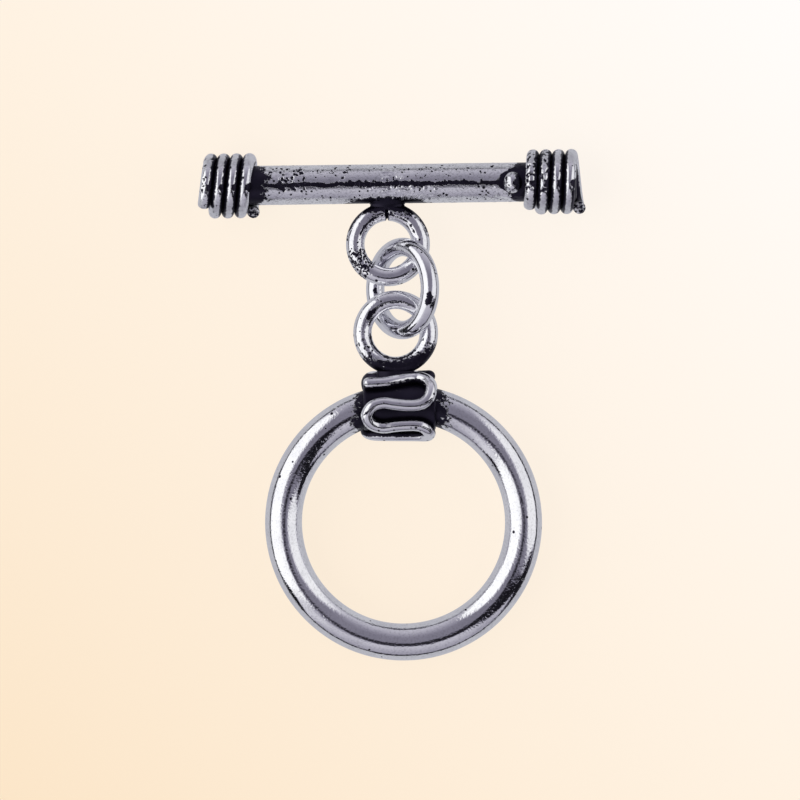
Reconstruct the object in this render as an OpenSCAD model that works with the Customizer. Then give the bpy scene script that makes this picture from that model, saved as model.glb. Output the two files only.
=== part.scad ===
// Toggle clasp in oxidised silver, laid flat: a bar with wound wire ends, a jump ring,
// and a hoop that carries a collar with a serpentine wire. X runs along the bar,
// Y from the hoop to the bar, Z up from the surface that everything lies on.

/* [Hoop] */
// Outer diameter of the hoop
hoop_od = 18; // [16:0.5:22]
// Diameter of the hoop's round wire
hoop_wire_d = 2.4; // [2:0.1:2.8]

/* [Collar] */
// Length of the strip that is wrapped round the hoop
collar_len = 4.7; // [4:0.1:5.2]
// Outer diameter of the wrapped strip, without its wire
collar_d = 3.2; // [3.1:0.05:3.6]
// How far the collar sits from the hoop's top, along X
collar_shift = -0.25; // [-0.6:0.05:0.6]
// Gap between the collar's channel and the hoop
collar_fit = 0.03; // [0.02:0.01:0.06]

/* [Serpentine wire] */
// Diameter of the wire that is bent to and fro round the collar
serpentine_wire_d = 0.8; // [0.6:0.05:1]
// Length that the bends span along the collar, over the wire
serpentine_len = 4.9; // [4:0.1:5.6]
// Number of strands round the collar
serpentine_strands = 7; // [6:1:8]
// How deep the wire sinks into the solder on the collar
serpentine_sink = 0.08; // [0.05:0.01:0.15]
// Angle of the first strand, from the collar's front towards the bar
serpentine_start = 60; // [50:1:75]
// Swing of each strand past straight, as the bends are pinched in
serpentine_swing = 1.25; // [0.8:0.05:1.5]

/* [Eyes] */
// Outer diameter of the eye under the bar
bar_eye_od = 5.45; // [5:0.05:6.5]
// Outer diameter of the eye on the collar
ring_eye_od = 5.5; // [5:0.05:6.5]
// Diameter of the round wire of both eyes
eye_wire_d = 1.2; // [1:0.05:1.35]
// How far the bar's eye sinks into the rod at its solder joint
bar_eye_sink = 0.06; // [0.03:0.01:0.15]
// How far the bar's eye sits from the bar's middle, along the bar
bar_eye_shift = -0.28; // [-1:0.05:1]
// How far the collar's eye sits from the collar's middle, along the collar
ring_eye_shift = -0.26; // [-0.8:0.05:0.8]
// Gap between the collar's plate and its eye, which the solder fills
ring_eye_lift = 0.4; // [0.2:0.05:0.6]
// Width of a solder joint where it meets the rod or the collar
solder_w = 2.4; // [1.8:0.1:3]

/* [Link] */
// Outer diameter of the jump ring
link_od = 6.6; // [6.2:0.1:8]
// Diameter of the jump ring's round wire
link_wire_d = 1.2; // [1:0.05:1.35]
// Smallest gap between the jump ring and an eye
link_gap = 0.07; // [0.05:0.01:0.15]
// How far the jump ring lies to the right of the two eyes
link_shift = 0.7; // [0.4:0.05:0.9]
// How far the jump ring's middle lies above the two eyes
link_rise = 0.41; // [0.2:0.05:0.6]
// Gap between the two eyes, as the clasp is laid out
eye_gap = 0.27; // [0.15:0.01:0.6]

/* [Bar] */
// Overall length of the bar, over its wound ends
bar_len = 25.2; // [22:0.2:30]
// Diameter of the bar's rod
rod_d = 2.55; // [2:0.05:3]
// How far the rod's ends stay back inside the wound ends
rod_inset = 0.6; // [0.3:0.05:1]
// Diameter of the solder grain on the rod beside the right coil
grain_d = 1.2; // [0.6:0.05:1.3]

/* [Coils] */
// Diameter of the wire that is wound on the rod's ends
coil_wire_d = 0.8; // [0.6:0.05:1]
// Turns on each end
coil_turns = 4; // [3:1:6]
// Gap between neighbouring turns
coil_turn_gap = 0.03; // [0.02:0.01:0.1]
// Gap between the wound wire and the rod
coil_fit = 0.04; // [0.03:0.01:0.08]
// Lean of the left coil's turns, whose tops stand further along the bar than their feet
left_coil_lean = 3.5; // [-6:0.5:6]
// Lean of the right coil's turns, measured the same way
right_coil_lean = -1; // [-6:0.5:6]
// Angle by which the left winding's first cut end stands past the bar's underside
left_coil_start = 40; // [0:5:60]
// Angle by which the right winding's first cut end stands past the bar's underside
right_coil_start = 25; // [0:5:60]

/* [Lay] */
// Turn of the bar in the plane of the surface
bar_turn = 0.75; // [-3:0.25:3]
// Roll of the bar, which lifts its eye off the surface
bar_roll = 2; // [0:0.25:4]
// Distance of the bar's middle from the hoop's middle, along X
bar_shift = -0.78; // [-2:0.05:2]

/* [Hidden] */

round_fn = 64;
coil_sides = 10;
coil_steps = 32;
serpentine_sides = 8;
serpentine_steps = 18;

// Hoop and collar
hoop_r = (hoop_od - hoop_wire_d) / 2;
collar_half = collar_len / 2;
hoop_sagitta = hoop_r - sqrt(hoop_r * hoop_r - collar_half * collar_half);
collar_axis_r = hoop_r - hoop_sagitta / 2;
serpentine_r = collar_d / 2 + serpentine_wire_d / 2 - serpentine_sink;
serpentine_reach = (serpentine_len - serpentine_wire_d) / 2;
strand_step = 360 / serpentine_strands;
collar_outer_r = serpentine_r + serpentine_wire_d / 2;

// The collar is thicker than the hoop, so the hoop lies on its far side and on the collar
hoop_tilt = asin((collar_outer_r - hoop_wire_d / 2) / (collar_axis_r + hoop_r));
hoop_z = hoop_wire_d / 2 + hoop_r * sin(hoop_tilt);

// Eyes, each with its centre's distance from the hoop's middle or the rod's axis
bar_eye_r = (bar_eye_od - eye_wire_d) / 2;
ring_eye_r = (ring_eye_od - eye_wire_d) / 2;
ring_eye_at = collar_axis_r + collar_d / 2 + ring_eye_lift + ring_eye_od / 2;
bar_eye_drop = rod_d / 2 + bar_eye_od / 2 - bar_eye_sink;

// Coils and bar
coil_r = rod_d / 2 + coil_fit + coil_wire_d / 2;
coil_pitch = coil_wire_d + coil_turn_gap;
coil_span = coil_turns * coil_pitch;
rod_z = coil_r + coil_wire_d / 2;
rod_len = bar_len - 2 * rod_inset;
right_coil_foot = max(0, -coil_r * tan(right_coil_lean));
right_coil_from = bar_len / 2 - coil_wire_d / 2 - coil_span - right_coil_foot;
left_coil_foot = max(0, coil_r * cos(left_coil_start) * tan(left_coil_lean)
    - coil_pitch * left_coil_start / 360);
left_coil_from = -bar_len / 2 + coil_wire_d / 2 + left_coil_foot;
grain_x = right_coil_from - coil_wire_d / 2 - grain_d / 2;

// Places on the surface, from the hoop up to the bar
ring_eye_reach = ring_eye_at * cos(hoop_tilt);
eyes_apart = ring_eye_od / 2 + eye_gap + bar_eye_od / 2;
bar_from_hoop = ring_eye_reach + eyes_apart + bar_eye_drop;
lay_len = hoop_od / 2 + bar_from_hoop + rod_z;
hoop_y = (hoop_od - lay_len) / 2;
bar_y = hoop_y + bar_from_hoop;
hoop_x = -bar_shift;

// Centres of the eyes as they lie
ring_eye_pos = [
    hoop_x + collar_shift + ring_eye_shift,
    hoop_y + ring_eye_reach,
    hoop_z + ring_eye_at * sin(hoop_tilt)
];
bar_eye_pos = [
    bar_eye_shift * cos(bar_turn) + bar_eye_drop * cos(bar_roll) * sin(bar_turn),
    bar_y + bar_eye_shift * sin(bar_turn) - bar_eye_drop * cos(bar_roll) * cos(bar_turn),
    rod_z + bar_eye_drop * sin(bar_roll)
];

// Middle of the jump ring, and the ring's own round line at a given lean
link_r = (link_od - link_wire_d) / 2;
link_wires = (link_wire_d + eye_wire_d) / 2 + link_gap;
function link_pos(lean) = let (mid = (ring_eye_pos + bar_eye_pos) / 2)
    [mid.x + link_shift, mid.y,
     max(mid.z + link_rise, link_r * sin(lean) + link_wire_d / 2 + link_gap)];
function link_line(lean) = [for (a = [0:4:356])
    link_pos(lean) + link_r * [cos(a) * cos(lean), sin(a), cos(a) * sin(lean)]];

// Distance of a point from a round line of radius r that is tilted about X
function from_ring(p, at, r, tilt) = let (
    d = p - at,
    along = d.y * cos(tilt) + d.z * sin(tilt),
    off = d.z * cos(tilt) - d.y * sin(tilt)
) norm([norm([d.x, along]) - r, off]);

function link_room(lean) = min([for (p = link_line(lean))
    min(from_ring(p, ring_eye_pos, ring_eye_r, hoop_tilt),
        from_ring(p, bar_eye_pos, bar_eye_r, -bar_roll))]);

// The jump ring leans over until its wire meets the eyes
link_lean = [for (a = [40:0.5:90]) if (link_room(a) >= link_wires || a == 90) a][0];

// A round wire along points, where each point has a direction that faces away from the core
module wire(points, outs, d, sides) {
    last = len(points) - 1;
    rings = [for (i = [0:last]) let (
        t = points[min(i + 1, last)] - points[max(i - 1, 0)],
        along = t / norm(t),
        side = cross(along, outs[i]),
        b = side / norm(side),
        n = cross(b, along)
    ) for (k = [0:sides - 1]) let (a = (k + 0.5) * 360 / sides)
        points[i] + d / 2 * (cos(a) * n + sin(a) * b)];
    skin = [for (i = [0:last - 1], k = [0:sides - 1]) let (m = (k + 1) % sides)
        [i * sides + k, (i + 1) * sides + k, (i + 1) * sides + m, i * sides + m]];
    first_cap = [for (k = [0:sides - 1]) k];
    last_cap = [for (k = [sides - 1:-1:0]) last * sides + k];
    polyhedron(rings, concat([first_cap], skin, [last_cap]), convexity = 10);
}

// A closed round ring in the XY plane
module round_ring(r, d) {
    rotate_extrude($fn = 2 * round_fn) translate([r, 0]) circle(d = d, $fn = round_fn);
}

// A winding of coil wire round X that starts under the rod and climbs over its front
module winding(from, lean, first) {
    steps = coil_turns * coil_steps;
    angles = [for (i = [0:steps]) first + (coil_turns * 360 - first) * i / steps];
    points = [for (a = angles)
        [from + coil_pitch * a / 360 - coil_r * cos(a) * tan(lean), -coil_r * cos(a), coil_r * sin(a)]];
    outs = [for (a = angles) [0, -cos(a), sin(a)]];
    wire(points, outs, coil_wire_d, coil_sides);
}

// A solder joint as thick as the eye's wire, wide at its foot and narrow at its top
module solder(foot, top) {
    intersection() {
        rotate([-90, 0, 0]) translate([0, 0, foot])
            cylinder(h = top - foot, d1 = solder_w, d2 = eye_wire_d, $fn = round_fn);
        translate([-solder_w, foot, -eye_wire_d * 0.45])
            cube([2 * solder_w, top - foot, eye_wire_d * 0.9]);
    }
}

// Places a piece of the bar as it lies
module lay_bar() {
    translate([0, bar_y, rod_z]) rotate([0, 0, bar_turn]) rotate([-bar_roll, 0, 0]) children();
}

// Places a piece of the hoop as it lies
module lay_hoop() {
    translate([hoop_x, hoop_y, hoop_z]) rotate([hoop_tilt, 0, 0]) children();
}

module toggle_bar() {
    color("silver") lay_bar() {
        rotate([0, 90, 0]) cylinder(h = rod_len, d = rod_d, center = true, $fn = round_fn);
        translate([bar_eye_shift, -bar_eye_drop, 0]) round_ring(bar_eye_r, eye_wire_d);
        translate([bar_eye_shift, 0, 0]) mirror([0, 1, 0])
            solder(rod_d / 2 * 0.9, rod_d / 2 + eye_wire_d / 2);
        translate([grain_x, 0, rod_d / 2]) sphere(d = grain_d, $fn = round_fn);
    }
}

module left_coil() {
    color("gainsboro") lay_bar() winding(left_coil_from, left_coil_lean, left_coil_start);
}

module right_coil() {
    color("gainsboro") lay_bar() winding(right_coil_from, right_coil_lean, right_coil_start);
}

module link() {
    color("white") translate(link_pos(link_lean)) rotate([0, -link_lean, 0])
        round_ring(link_r, link_wire_d);
}

// The wire that runs to and fro along the collar while it goes once round it
module serpentine() {
    steps = serpentine_strands * serpentine_steps;
    swing = serpentine_swing * strand_step / 360;
    turns = [for (i = [0:steps]) 180 * i / serpentine_steps - 60];
    round_at = [for (s = turns) serpentine_start - strand_step * s / 180 + swing * 180 / PI * sin(2 * s)];
    points = [for (i = [0:steps])
        [serpentine_reach * sin(turns[i]), serpentine_r * sin(round_at[i]), serpentine_r * cos(round_at[i])]];
    outs = [for (a = round_at) [0, sin(a), cos(a)]];
    wire(points, outs, serpentine_wire_d, serpentine_sides);
}

module collar() {
    color("dimgray") lay_hoop() difference() {
        translate([collar_shift, 0, 0]) {
            translate([0, collar_axis_r, 0]) {
                rotate([0, 90, 0]) cylinder(h = collar_len, d = collar_d, center = true, $fn = round_fn);
                serpentine();
            }
            translate([ring_eye_shift, ring_eye_at, 0]) round_ring(ring_eye_r, eye_wire_d);
            translate([ring_eye_shift, collar_axis_r, 0])
                solder(collar_d / 2 * 0.9, collar_d / 2 + ring_eye_lift + eye_wire_d / 2);
        }
        round_ring(hoop_r, hoop_wire_d + 2 * collar_fit);
    }
}

module hoop() {
    color("silver") lay_hoop() round_ring(hoop_r, hoop_wire_d);
}

toggle_bar();
left_coil();
right_coil();
link();
collar();
hoop();
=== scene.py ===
import math
import random

import bpy
import numpy as np
from mathutils import Matrix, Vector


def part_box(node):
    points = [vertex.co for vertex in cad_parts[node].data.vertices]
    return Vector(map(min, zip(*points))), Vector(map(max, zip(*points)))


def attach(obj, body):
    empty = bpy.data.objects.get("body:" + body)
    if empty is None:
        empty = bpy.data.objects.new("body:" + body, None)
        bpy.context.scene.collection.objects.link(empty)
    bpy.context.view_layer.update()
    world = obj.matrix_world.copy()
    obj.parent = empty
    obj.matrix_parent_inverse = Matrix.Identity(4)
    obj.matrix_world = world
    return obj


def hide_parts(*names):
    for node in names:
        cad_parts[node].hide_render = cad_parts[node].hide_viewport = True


# Toggle clasp in oxidised silver. Sizes in the dictionaries are millimetres, Blender's are metres.
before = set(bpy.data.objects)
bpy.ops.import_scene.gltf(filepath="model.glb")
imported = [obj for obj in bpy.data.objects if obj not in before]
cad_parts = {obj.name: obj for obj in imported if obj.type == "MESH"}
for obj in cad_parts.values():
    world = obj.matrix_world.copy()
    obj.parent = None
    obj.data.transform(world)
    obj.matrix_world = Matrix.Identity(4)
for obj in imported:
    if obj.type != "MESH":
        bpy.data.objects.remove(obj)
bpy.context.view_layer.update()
mm = 0.001


def linearColour(hexText):
    channels = [int(hexText[i:i + 2], 16) / 255 for i in (1, 3, 5)]
    return [*(c / 12.92 if c <= 0.04045 else ((c + 0.055) / 1.055) ** 2.4 for c in channels), 1]


# Adds one node; a value may be a plain value, a socket, or a node whose first output is meant
def addNode(tree, kind, values=None, **settings):
    node = tree.nodes.new(kind)
    for name, value in settings.items():
        setattr(node, name, value)
    for key, value in (values or {}).items():
        if isinstance(value, bpy.types.Node):
            value = value.outputs[0]
        if isinstance(value, bpy.types.NodeSocket):
            tree.links.new(value, node.inputs[key])
        else:
            node.inputs[key].default_value = value
    return node


# Smooth steps from 0 to 1 and from 1 to 0, and a soft hump
def ramp(value, low, high):
    share = np.clip((value - low) / (high - low), 0, 1)
    return share * share * (3 - 2 * share)


def fade(value, low, high):
    return 1 - ramp(value, low, high)


def hump(value, middle, width):
    return np.exp(-((value - middle) / width) ** 2)


# Meshes
def makePiece(name, points, edges=(), faces=()):
    mesh = bpy.data.meshes.new(name)
    mesh.from_pydata([tuple(p) for p in np.asarray(points, float) * mm], edges, faces)
    piece = bpy.data.objects.new(name, mesh)
    bpy.context.scene.collection.objects.link(piece)
    return piece


def pointsOf(mesh):
    flat = np.empty(len(mesh.vertices) * 3)
    mesh.vertices.foreach_get('co', flat)
    return flat.reshape(-1, 3) / mm


def normalsOf(mesh):
    flat = np.empty(len(mesh.vertices) * 3)
    mesh.vertex_normals.foreach_get('vector', flat)
    return flat.reshape(-1, 3)


def movePoints(mesh, points):
    mesh.vertices.foreach_set('co', (points * mm).ravel())
    mesh.update()


# How far each point is along its wire, in millimetres; 0 where there is no wire
def alongWire(mesh):
    flat = np.zeros(len(mesh.vertices), np.float32)
    mesh.attributes['along'].data.foreach_get('value', flat)
    return flat.astype(float)


def paint(mesh, name, values):
    layer = mesh.attributes.new(name, 'FLOAT', 'POINT')
    layer.data.foreach_set('value', np.full(len(mesh.vertices), values, np.float32))


# A wavy offset round a wire, for a stain that runs out in fingers: waves that go 2 to 10 times round
def fingers(turn, seed, reach, waves=range(2, 11)):
    draw = random.Random(seed)
    return reach * sum(draw.uniform(0.4, 1) * np.sin(k * turn + draw.uniform(0, 6.3)) for k in waves)


# Turns what the modifiers make into the piece's own plain mesh
def settle(piece):
    graph = bpy.context.evaluated_depsgraph_get()
    mesh = bpy.data.meshes.new_from_object(piece.evaluated_get(graph), depsgraph=graph,
                                           preserve_all_data_layers=True)
    piece.modifiers.clear()
    piece.data = mesh
    return piece


# Runs a tree on a piece. The sizes are named as the tree's inputs are, with lengths in millimetres
treeLengths = ('Wire Diameter', 'Step', 'Wander', 'Ripple', 'End Rounding', 'Pitch', 'Winding Radius')


def runTree(piece, tree, sizes, material):
    modifier = piece.modifiers.new(tree.name, 'NODES')
    modifier.node_group = tree
    inputs = {'Material': material}
    for name, size in sizes.items():
        inputs[name] = size * mm if name in treeLengths else size
    for item in tree.interface.items_tree:
        if item.in_out == 'INPUT' and item.name in inputs:
            modifier[item.identifier] = inputs[item.name]
    return settle(piece)


# Joins closed solids into one skin, as solder does
def weld(parts):
    first = parts[0]
    for other in parts[1:]:
        modifier = first.modifiers.new('weld', 'BOOLEAN')
        modifier.operation = 'UNION'
        modifier.solver = 'MANIFOLD'
        modifier.object = other
        settle(first)
        bpy.data.objects.remove(other)
    return first


# A closed skin over rings of points; with loop the last ring meets the first, else both ends are capped
def skinOver(name, rings, loop=False):
    rings = np.asarray(rings, float)
    rows, columns = rings.shape[:2]
    faces = []
    for i in range(rows if loop else rows - 1):
        for k in range(columns):
            a, b = i * columns, ((i + 1) % rows) * columns
            m = (k + 1) % columns
            faces.append((a + k, a + m, b + m, b + k))
    if not loop:
        faces.append(tuple(range(columns))[::-1])
        faces.append(tuple(range((rows - 1) * columns, rows * columns)))
    return makePiece(name, rings.reshape(-1, 3), faces=faces)


def ringPath(radius, start, count=360):
    angles = np.radians(start) + np.linspace(0, 2 * np.pi, count, endpoint=False)
    return np.stack([radius * np.cos(angles), radius * np.sin(angles), 0 * angles], 1)


def sweep(name, points, closed, sizes, material):
    count = len(points)
    edges = [(i, (i + 1) % count) for i in range(count if closed else count - 1)]
    return runTree(makePiece(name, points, edges), roundWire, sizes, material)


# Pits and crumbs of solder. Depths are shares of the radius, falls are powers, and the rim's place and width
# are squared shares of the radius
pitLook = {'drawnOut': 0.35, 'fall': 1.5, 'darkness': 1.6, 'rimHeight': 0.3, 'rimPlace': 1.4, 'rimWidth': 0.5,
           'crumbFall': 0.8, 'depth': 0.5, 'crumbDepth': -0.45}


# Each pit is a centre, a radius, a depth and a direction it is drawn out in; a crumb's depth is negative.
# Returns how dark the pits are
def sinkPits(mesh, pits):
    points, normals = pointsOf(mesh), normalsOf(mesh)
    sunk, risen, dark = np.zeros((3, len(points)))
    for centre, radius, depth, drawn in pits:
        close = np.flatnonzero(np.abs(points[:, 0] - centre[0]) < 2 * radius)
        away = points[close] - centre
        away = away - np.outer(away @ drawn, drawn) * pitLook['drawnOut']
        reach = np.einsum('ij,ij->i', away, away) / radius ** 2
        near = np.clip(1 - reach, 0, 1)
        if depth < 0:
            risen[close] = np.maximum(risen[close], -depth * near ** pitLook['crumbFall'])
            continue
        rim = pitLook['rimHeight'] * depth * hump(reach, pitLook['rimPlace'], pitLook['rimWidth'])
        sunk[close] = np.maximum(sunk[close], depth * near ** pitLook['fall'])
        risen[close] = np.maximum(risen[close], rim)
        dark[close] = np.maximum(dark[close], np.clip(near * pitLook['darkness'], 0, 1))
    movePoints(mesh, points - normals * (sunk - risen * (sunk <= 0))[:, None])
    return dark


# Scatters pits by rules: from and to along the piece, from and to round it in degrees, how many, smallest and
# largest radius
def scatter(rules, surface, seed, depth=pitLook['depth']):
    draw = random.Random(seed)
    pits = []
    for start, stop, low, high, count, small, big in rules:
        for _ in range(count):
            centre = surface(draw.uniform(start, stop), math.radians(draw.uniform(low, high)))
            size = draw.uniform(small, big)
            drawn = np.array([draw.gauss(0, 1) for _ in range(3)])
            pits.append((centre, size, size * depth, drawn / np.linalg.norm(drawn)))
    return pits


def moved(piece, at):
    piece.data.transform(Matrix.Translation([v * mm for v in at]))
    return piece


def placed(at, turn=0.0, roll=0.0, lean=0.0):
    return (Matrix.Translation([v * mm for v in at]) @ Matrix.Rotation(turn, 4, 'Z')
            @ Matrix.Rotation(lean, 4, 'Y') @ Matrix.Rotation(roll, 4, 'X'))


def finishPiece(piece, node, material, place, sharpAngle=50):
    mesh = piece.data
    mesh.transform(place)
    mesh.materials.clear()
    mesh.materials.append(material)
    mesh.polygons.foreach_set('material_index', [0] * len(mesh.polygons))
    mesh.shade_smooth()
    mesh.set_sharp_from_angle(angle=math.radians(sharpAngle))
    mesh.update()
    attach(piece, 'root')
    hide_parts(node)
    print(piece.name, len(mesh.polygons), 'faces')


# Geometry Nodes
def newTree(name, inputs):
    tree = bpy.data.node_groups.new(name, 'GeometryNodeTree')
    tree.is_modifier = True
    tree.interface.new_socket('Geometry', in_out='INPUT', socket_type='NodeSocketGeometry')
    for label, kind, value in inputs:
        socket = tree.interface.new_socket(label, in_out='INPUT', socket_type='NodeSocket' + kind)
        if value is not None:
            socket.default_value = value
    tree.interface.new_socket('Geometry', in_out='OUTPUT', socket_type='NodeSocketGeometry')
    return tree, addNode(tree, 'NodeGroupInput').outputs


wireInputs = [
    ('Wire Diameter', 'Float', 1 * mm), ('Sides', 'Int', 32), ('Step', 'Float', 0.08 * mm),
    ('Unevenness', 'Float', 0.01), ('Wander', 'Float', 0.01 * mm), ('Ripple', 'Float', 2 * mm),
    ('Seed', 'Int', 1), ('End Rounding', 'Float', 0.15 * mm), ('Blunt End', 'Float', 0.7),
    ('Material', 'Material', None)]


# A round drawn wire along whatever path comes in, with hand-made unevenness and filed ends
def makeRoundWire():
    tree, given = newTree('roundWire', wireInputs)
    path = addNode(tree, 'GeometryNodeMeshToCurve', {'Mesh': given['Geometry']})
    even = addNode(tree, 'GeometryNodeResampleCurve', {'Curve': path, 'Length': given['Step']}, mode='LENGTH')

    # the path wanders a little, by a noise as long as Ripple
    here = addNode(tree, 'GeometryNodeInputPosition')
    perRipple = addNode(tree, 'ShaderNodeMath', {0: 1.0, 1: given['Ripple']}, operation='DIVIDE')
    ripple = addNode(tree, 'ShaderNodeTexNoise',
                     {'Vector': here, 'W': given['Seed'], 'Scale': perRipple, 'Detail': 1.0},
                     noise_dimensions='4D')
    centred = addNode(tree, 'ShaderNodeVectorMath', {0: ripple.outputs['Color'], 1: (0.5, 0.5, 0.5)},
                      operation='SUBTRACT')
    drift = addNode(tree, 'ShaderNodeVectorMath', {0: centred, 'Scale': given['Wander']}, operation='SCALE')
    wandering = addNode(tree, 'GeometryNodeSetPosition', {'Geometry': even, 'Offset': drift})

    # both ends of an open wire are rounded, from Blunt End to full thickness
    run = addNode(tree, 'GeometryNodeSplineParameter')
    whole = addNode(tree, 'GeometryNodeSplineLength')
    left = addNode(tree, 'ShaderNodeMath', {0: whole, 1: run.outputs['Length']}, operation='SUBTRACT')
    toEnd = addNode(tree, 'ShaderNodeMath', {0: left, 1: run.outputs['Length']}, operation='MINIMUM')
    inward = addNode(tree, 'ShaderNodeMapRange', {
        'Value': toEnd, 'From Min': 0.0, 'From Max': given['End Rounding'], 'To Min': 1.0, 'To Max': 0.0})
    squared = addNode(tree, 'ShaderNodeMath', {0: inward, 1: 2.0}, operation='POWER')
    rest = addNode(tree, 'ShaderNodeMath', {0: 1.0, 1: squared}, operation='SUBTRACT')
    bulge = addNode(tree, 'ShaderNodeMath', {0: rest}, operation='SQRT')
    blunt = addNode(tree, 'ShaderNodeMapRange', {'Value': bulge, 'To Min': given['Blunt End'], 'To Max': 1.0})
    closed = addNode(tree, 'GeometryNodeInputSplineCyclic')
    ends = addNode(tree, 'GeometryNodeSwitch', {'Switch': closed, 'False': blunt, 'True': 1.0},
                   input_type='FLOAT')
    swell = addNode(tree, 'ShaderNodeMath', {0: ripple.outputs['Fac'], 1: 0.5}, operation='SUBTRACT')
    uneven = addNode(tree, 'ShaderNodeMath', {0: swell, 1: given['Unevenness'], 2: 1.0},
                     operation='MULTIPLY_ADD')
    thickness = addNode(tree, 'ShaderNodeMath', {0: ends, 1: uneven}, operation='MULTIPLY')

    # millimetres along and around the wire are kept for the draw lines
    runMm = addNode(tree, 'ShaderNodeMath', {0: run.outputs['Length'], 1: 1 / mm}, operation='MULTIPLY')
    marked = addNode(tree, 'GeometryNodeStoreNamedAttribute',
                     {'Geometry': wandering, 'Name': 'along', 'Value': runMm},
                     data_type='FLOAT', domain='POINT')
    radius = addNode(tree, 'ShaderNodeMath', {0: given['Wire Diameter'], 1: 0.5}, operation='MULTIPLY')
    section = addNode(tree, 'GeometryNodeCurvePrimitiveCircle',
                      {'Resolution': given['Sides'], 'Radius': radius})
    sectionRun = addNode(tree, 'GeometryNodeSplineParameter')
    sectionMm = addNode(tree, 'ShaderNodeMath', {0: sectionRun.outputs['Length'], 1: 1 / mm},
                        operation='MULTIPLY')
    markedSection = addNode(tree, 'GeometryNodeStoreNamedAttribute',
                            {'Geometry': section, 'Name': 'around', 'Value': sectionMm},
                            data_type='FLOAT', domain='POINT')
    skin = addNode(tree, 'GeometryNodeCurveToMesh', {
        'Curve': marked, 'Profile Curve': markedSection, 'Scale': thickness, 'Fill Caps': True})
    smooth = addNode(tree, 'GeometryNodeSetShadeSmooth', {'Geometry': skin, 'Shade Smooth': True})
    plain = addNode(tree, 'GeometryNodeRealizeInstances', {'Geometry': smooth})
    dressed = addNode(tree, 'GeometryNodeSetMaterial', {'Geometry': plain, 'Material': given['Material']})
    addNode(tree, 'NodeGroupOutput', {'Geometry': dressed})
    return tree


roundWire = makeRoundWire()


# A close winding round X that climbs over the front, fed to roundWire
def makeWinding():
    tree, given = newTree('winding', [
        ('Turns', 'Float', 4.0), ('Points', 'Int', 512), ('Pitch', 'Float', 0.8 * mm),
        ('Winding Radius', 'Float', 1.7 * mm), ('Start Angle', 'Float', 0.4), ('Lean', 'Float', 0.0),
        *wireInputs])
    line = addNode(tree, 'GeometryNodeMeshLine', {'Count': given['Points'], 'Offset': (1 * mm, 0, 0)})
    index = addNode(tree, 'GeometryNodeInputIndex')
    last = addNode(tree, 'ShaderNodeMath', {0: given['Points'], 1: 1.0}, operation='SUBTRACT')
    fullTurn = addNode(tree, 'ShaderNodeMath', {0: given['Turns'], 1: 2 * math.pi}, operation='MULTIPLY')
    angle = addNode(tree, 'ShaderNodeMapRange', {
        'Value': index, 'From Max': last, 'To Min': given['Start Angle'], 'To Max': fullTurn})
    turn = addNode(tree, 'ShaderNodeMath', {0: angle, 1: 2 * math.pi}, operation='DIVIDE')
    advance = addNode(tree, 'ShaderNodeMath', {0: turn, 1: given['Pitch']}, operation='MULTIPLY')
    down = addNode(tree, 'ShaderNodeMath', {0: angle}, operation='COSINE')
    front = addNode(tree, 'ShaderNodeMath', {0: angle}, operation='SINE')
    under = addNode(tree, 'ShaderNodeMath', {0: down, 1: given['Winding Radius']}, operation='MULTIPLY')
    y = addNode(tree, 'ShaderNodeMath', {0: under, 1: -1.0}, operation='MULTIPLY')
    z = addNode(tree, 'ShaderNodeMath', {0: front, 1: given['Winding Radius']}, operation='MULTIPLY')
    x = addNode(tree, 'ShaderNodeMath', {0: y, 1: given['Lean'], 2: advance}, operation='MULTIPLY_ADD')
    place = addNode(tree, 'ShaderNodeCombineXYZ', {'X': x, 'Y': y, 'Z': z})
    wound = addNode(tree, 'GeometryNodeSetPosition', {'Geometry': line, 'Position': place})
    wire = addNode(tree, 'GeometryNodeGroup', node_tree=roundWire)
    tree.links.new(wound.outputs[0], wire.inputs['Geometry'])
    for label, *_ in wireInputs:
        tree.links.new(given[label], wire.inputs[label])
    plain = addNode(tree, 'GeometryNodeRealizeInstances', {'Geometry': wire})
    dressed = addNode(tree, 'GeometryNodeSetMaterial', {'Geometry': plain, 'Material': given['Material']})
    addNode(tree, 'NodeGroupOutput', {'Geometry': dressed})
    return tree


winding = makeWinding()
print('node trees made')


# Finishes
# Sterling silver, tumbled bright after a sulphur bath: cool mirror metal, near-black where the bath stayed
# in recesses, ragged where the polish ends. Sizes of the patterns are millimetres.
polishedSilver = {
    'metal': '#f4f4f7', 'metalDeep': '#e4e4e9', 'film': '#1c1926', 'filmLight': '#2c2838', 'filmMetal': 0.85,
    'polish': (0.04, 0.08), 'satin': 0.15, 'filmRoughness': 0.36, 'offset': (0, 0, 0),
    'raggedSize': 0.3, 'ragged': 1.7, 'edge': 0.04,
    'speckSpacing': 0.24, 'speckRadius': (0.2, 0.5), 'speckEdge': 0.08, 'specks': 0.012, 'speckDepth': 0.02,
    'lineLength': 2.5, 'lineWidth': 0.1, 'lineDepth': 0.003,
    'scuffSize': 0.24, 'scuffDepth': 0.0009,
    'hazeSize': 0.15, 'hazeSpread': (0.48, 0.7), 'haze': 0.12, 'satinHaze': 0.16,
    'cloudSize': 1.6, 'toneSpread': (0.3, 0.7), 'dentSize': 1.1, 'dentDepth': 0.009}
# the windings are duller and more scratched
woundSilver = {
    **polishedSilver, 'offset': (7, 3, 1), 'raggedSize': 0.17, 'ragged': 2.6, 'specks': 0.03,
    'speckSpacing': 0.2, 'dentSize': 0.7, 'polish': (0.09, 0.15), 'satin': 0.3, 'satinHaze': 0.1,
    'scuffDepth': 0.005, 'scuffSize': 0.3}
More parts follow.
